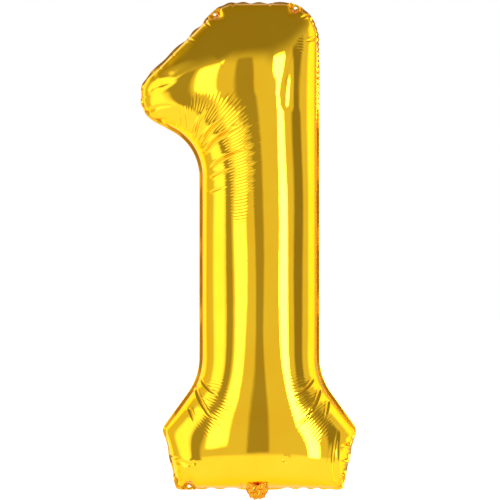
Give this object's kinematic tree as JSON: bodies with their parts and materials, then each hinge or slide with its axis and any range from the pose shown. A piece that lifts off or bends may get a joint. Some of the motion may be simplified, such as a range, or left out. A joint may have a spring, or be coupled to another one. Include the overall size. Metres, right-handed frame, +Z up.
{
  "type": "foil number balloon",
  "caption": "Inflated metallised film balloon in the shape of the numeral 1, with welded edge, three punched hanging eyelets, inner valve and a folding filling neck.",
  "frame": {"origin": "centre of the top left hanging hole, in the plane of the seam", "axes": "+X to the right seen from the front, +Z up the stem, the front faces -Y"},
  "size_m": [0.3809, 0.236, 0.8707],
  "materials": {
    "gold_film": "mirror gold",
    "valve_film": "clear"
  },
  "bodies": {
    "balloon": {"front_panel": "gold_film", "back_panel": "gold_film", "sealed_rim": "gold_film", "eyelet_top_left": "gold_film", "eyelet_top_right": "gold_film", "eyelet_bottom_left": "gold_film", "valve_film_front": "valve_film", "valve_film_back": "valve_film"},
    "filling_neck": {"neck_film_front": "gold_film", "neck_film_back": "gold_film"}
  },
  "joints": [
    {"name": "neck_fold", "type": "hinge", "parent": "balloon", "child": "filling_neck", "pos_m": [0.07466, 0, -0.83751], "axis": [1, 0, 0], "range_deg": [0, 100], "stiffness_Nm_per_rad": 0.002}
  ]
}
